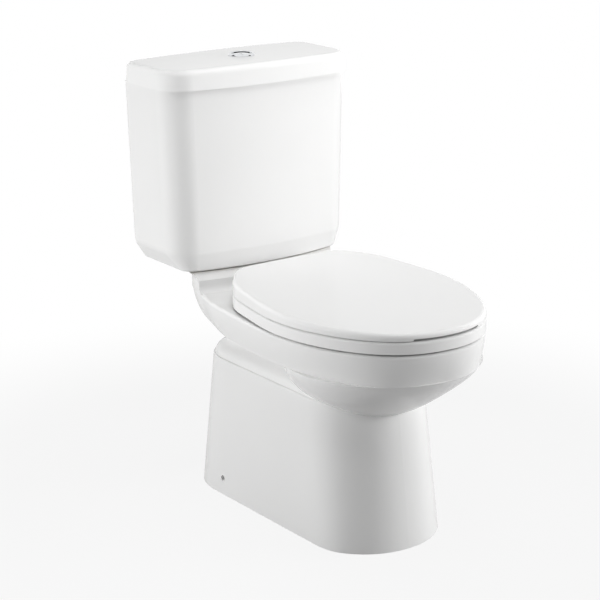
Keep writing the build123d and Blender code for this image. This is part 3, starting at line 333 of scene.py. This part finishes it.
dust_grey = (0.10, 0.10, 0.10, 1.0)
soot = (0.035, 0.035, 0.036, 1.0)
dress(rubber("seal_rubber", dust_grey, soot),
      "valve_washer", "valve_seal", "fill_valve_washer", "tank_bolt_seals", "hinge_sleeves")
dress(rubber("gasket_foam", dust_grey, soot, 900.0), "tank_gasket")
dress(rubber("bumper_rubber", (0.74, 0.74, 0.73, 1.0), (0.66, 0.66, 0.65, 1.0)),
      "seat_bumpers", "lid_bumpers")

# %% [markdown]
# The bolts that clamp the cistern are brass, because steel would rust in the wet. They are turned
# and threaded, and tarnish in patches. The hinge pins are drawn steel, so their scratches run
# along the pin: noise that is squeezed in two directions makes long streaks in the third.

# %% Turned metal, threaded or drawn
def turned_metal(name, bright, dull, streaks, roughness, thread=None):
    finish = new_finish(name)
    tarnish = finish.ease(finish.grain(60.0, 3.0), 0.4, 0.7)
    lines = finish.grain(1.0, 2.0, streaks)
    height = lines * 0.03
    if thread:
        height = height + finish.thread(*thread)
    return finish.surface({
        "Base Color": finish.tint(tarnish, bright, dull),
        "Metallic": 1.0,
        "Roughness": roughness + 0.14 * lines + 0.12 * tarnish,
        "Normal": finish.relief(height, 0.0003),
    })


brass_bright = (0.76, 0.58, 0.30, 1.0)
brass_dull = (0.55, 0.40, 0.20, 1.0)
bolt_low, bolt_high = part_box("tank_bolts")
bolt_thread = (bolt_low.z, bolt_high.z - 0.012, 0.00125)
turned = (300.0, 300.0, 2500.0)
dress(turned_metal("bolt_brass", brass_bright, brass_dull, turned, 0.24, bolt_thread), "tank_bolts")
dress(turned_metal("plain_brass", brass_bright, brass_dull, turned, 0.24),
      "tank_bolt_washers", "tank_bolt_nuts")
steel_bright = (0.62, 0.62, 0.62, 1.0)
steel_dull = (0.5, 0.5, 0.51, 1.0)
stud_low, stud_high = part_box("hinge_studs")
dress(turned_metal("pin_steel", steel_bright, steel_dull, (40.0, 3000.0, 3000.0), 0.2), "hinge_pins")
dress(turned_metal("stud_steel", steel_bright, steel_dull, turned, 0.26,
                   (stud_low.z, stud_high.z, 0.001)), "hinge_studs")

# %% [markdown]
# The picture has a white ground with only a thin shadow at the foot. Pouring more light on the
# floor would also bleach the china. Instead the floor is lit like the object, and a share of
# plain white is mixed in for the camera, and less of it for mirrors, so the soft shadow stays.

# %% White studio floor
floor_reach = 4.0
floor_gap = 0.0004
near_white = 0.88
mirror_white = 0.6
floor_mesh = bpy.data.meshes.new("studio_floor")
rim_turns = [math.radians(a) for a in range(0, 360, 5)]
rim_points = [(floor_reach * math.cos(a), floor_reach * math.sin(a), floor_level - floor_gap)
              for a in rim_turns]
floor_mesh.from_pydata(rim_points, [], [list(range(len(rim_points)))])
studio_floor = bpy.data.objects.new("studio_floor", floor_mesh)
bpy.context.scene.collection.objects.link(studio_floor)

paper = new_finish("white_paper_floor")
seen = paper.seen_by("Is Camera Ray")
mirrored = paper.seen_by("Is Glossy Ray")
through = paper.seen_by("Is Transmission Ray")
distance = paper.add("ShaderNodeVectorMath", {"operation": "LENGTH"}, {0: paper.place()}, out="Value")
fibre = paper.grain(900.0, 2.0)
paper_tone = paper.tint(fibre, (0.44, 0.44, 0.44, 1.0), (0.48, 0.48, 0.48, 1.0))
lit = paper.add("ShaderNodeBsdfDiffuse", sockets={"Color": paper_tone})
glow = paper.add("ShaderNodeEmission", sockets={"Strength": 1.0})
share = near_white + (1.0 - near_white) * paper.ease(distance, 0.6, 1.2)
shown = seen.maths("MAXIMUM", seen, mirrored * mirror_white)
shown = shown.maths("MAXIMUM", shown, through)
sheet = paper.add("ShaderNodeMixShader", sockets={0: shown * share, 1: lit, 2: glow})
paper.add("ShaderNodeOutputMaterial", sockets={0: sheet})
floor_mesh.materials.append(paper.owner)
print("floor is", 2 * floor_reach, "m across at", round(floor_level, 4))

# %% [markdown]
# The world does two jobs. Seen directly or in a mirror it is plain white, the ground of the
# picture. For light that falls on the object it is a weak grey, and it only opens the shadows, so
# that the softboxes can still shape the forms.

# %% White ground, weak fill
room_fill = 0.05
world = bpy.data.worlds.new("studio_room")
bpy.context.scene.world = world
room = Finish(world)
seen = room.seen_by("Is Camera Ray")
mirrored = room.seen_by("Is Glossy Ray")
through = room.seen_by("Is Transmission Ray")
shown = seen.maths("MAXIMUM", seen, mirrored)
shown = shown.maths("MAXIMUM", shown, through)
fill = room.add("ShaderNodeBackground", sockets={"Color": (1.0, 1.0, 1.0, 1.0), "Strength": room_fill})
ground = room.add("ShaderNodeBackground", sockets={"Color": (1.0, 1.0, 1.0, 1.0), "Strength": 1.0})
both = room.add("ShaderNodeMixShader", sockets={0: shown, 1: fill, 2: ground})
room.add("ShaderNodeOutputWorld", sockets={0: both})
print("fill strength", room_fill)

# %% [markdown]
# Softboxes are wide, because a small lamp would burn a hard spot into the glaze. Two stand to the
# front right and make that side the brightest. Weak ones on the left, above and behind open the
# flank and the seat. The camera's side has only a faint high lamp, which leaves the soft grey
# band down the front of the pan. Lamps are left out of mirrors, where the white room shows.

# %% Softboxes round the toilet
def softbox(name, place, aim, side_length, watts):
    lamp = bpy.data.lights.new(name, "AREA")
    lamp.size = side_length
    lamp.energy = watts
    holder = bpy.data.objects.new(name, lamp)
    holder.location = place
    holder.rotation_mode = "QUATERNION"
    holder.rotation_quaternion = (Vector(aim) - Vector(place)).to_track_quat("-Z", "Y")
    holder.visible_glossy = False
    bpy.context.scene.collection.objects.link(holder)
    print(name, watts, "W over", side_length, "m")
    return holder


middle = (0.0, -0.05, 0.4)
lamps = {
    "softbox_right": ((2.52, -2.57, 1.10), 1.4, 56.0),
    "softbox_far_right": ((3.23, -1.56, 1.10), 1.4, 70.0),
    "softbox_left": ((-1.20, -0.30, 0.75), 0.8, 4.5),
    "softbox_above": ((0.0, -0.20, 1.80), 0.8, 8.5),
    "softbox_front_high": ((-0.79, -1.18, 2.60), 1.0, 9.5),
    "softbox_behind_left": ((-1.50, 0.90, 0.45), 0.8, 15.0),
}
for name, (place, side_length, watts) in lamps.items():
    softbox(name, place, middle, side_length, watts)

# %% [markdown]
# Chrome in an all-white room looks like white china. A dark curtain hung high in an arc behind the
# camera gives the button ring its dark crescent. Only mirrors see it, so no light is lost.

# %% Dark curtain for the chrome
curtain_reach, curtain_low, curtain_high = 4.5, 1.9, 6.0
curtain_turns = [math.radians(a) for a in range(-145, 80, 5)]
hem = [(curtain_reach * math.sin(a), -curtain_reach * math.cos(a), curtain_low) for a in curtain_turns]
rail = [(x, y, curtain_high) for x, y, _ in hem]
last = len(hem)
folds = [(i, i + 1, last + i + 1, last + i) for i in range(last - 1)]
curtain_mesh = bpy.data.meshes.new("dark_curtain")
curtain_mesh.from_pydata(hem + rail, [], folds)
curtain = bpy.data.objects.new("dark_curtain", curtain_mesh)
bpy.context.scene.collection.objects.link(curtain)
felt = new_finish("dark_felt")
felt_tone = felt.tint(felt.grain(400.0, 3.0), (0.02, 0.02, 0.02, 1.0), (0.035, 0.035, 0.035, 1.0))
cloth = felt.add("ShaderNodeBsdfDiffuse", sockets={"Color": felt_tone})
felt.add("ShaderNodeOutputMaterial", sockets={0: cloth})
curtain_mesh.materials.append(felt.owner)
curtain.visible_camera = False
curtain.visible_diffuse = False
curtain.visible_shadow = False
curtain.visible_transmission = False
print("curtain from", curtain_low, "to", curtain_high, "m in", len(folds), "strips")

# %% [markdown]
# The camera was worked out from the photograph: known sizes of the pan and cistern were set
# against their places in the picture until both agreed. It stands to the front left, a little
# above the seat, with a long lens, so the upright edges stay almost upright.

# %% Camera at the photograph's place
picture_side = 600.0
focal_pixels = 1910.605
centre_pixels = (310.853, 298.512)
turn, tilt, roll = (math.radians(a) for a in (-35.154, 16.496, -0.441))
back = Vector((math.sin(turn) * math.cos(tilt), -math.cos(turn) * math.cos(tilt), math.sin(tilt)))
side = Vector((math.cos(turn), math.sin(turn), 0.0))
up = back.cross(side)
stand = Vector((0.0, -0.007, 0.4)) + back * 3.350502 + side * 0.001611 - up * 0.025177
right = math.cos(roll) * side + math.sin(roll) * up
top = math.cos(roll) * up - math.sin(roll) * side

lens = bpy.data.cameras.new("studio_camera")
lens.sensor_width = 36.0
lens.lens = focal_pixels / picture_side * lens.sensor_width
lens.shift_x = (picture_side / 2 - centre_pixels[0]) / picture_side
lens.shift_y = (centre_pixels[1] - picture_side / 2) / picture_side
lens.clip_end = 50.0
camera = bpy.data.objects.new("studio_camera", lens)
camera.matrix_world = Matrix.Translation(stand) @ Matrix((right, top, back)).transposed().to_4x4()
bpy.context.scene.collection.objects.link(camera)
bpy.context.scene.camera = camera
print("lens", round(lens.lens, 1), "mm, camera", [round(c, 3) for c in stand])

# %% [markdown]
# The last cell sets the standard view transform, which keeps whites as painted.

# %% Standard view transform
bpy.context.scene.view_settings.view_transform = "Standard"
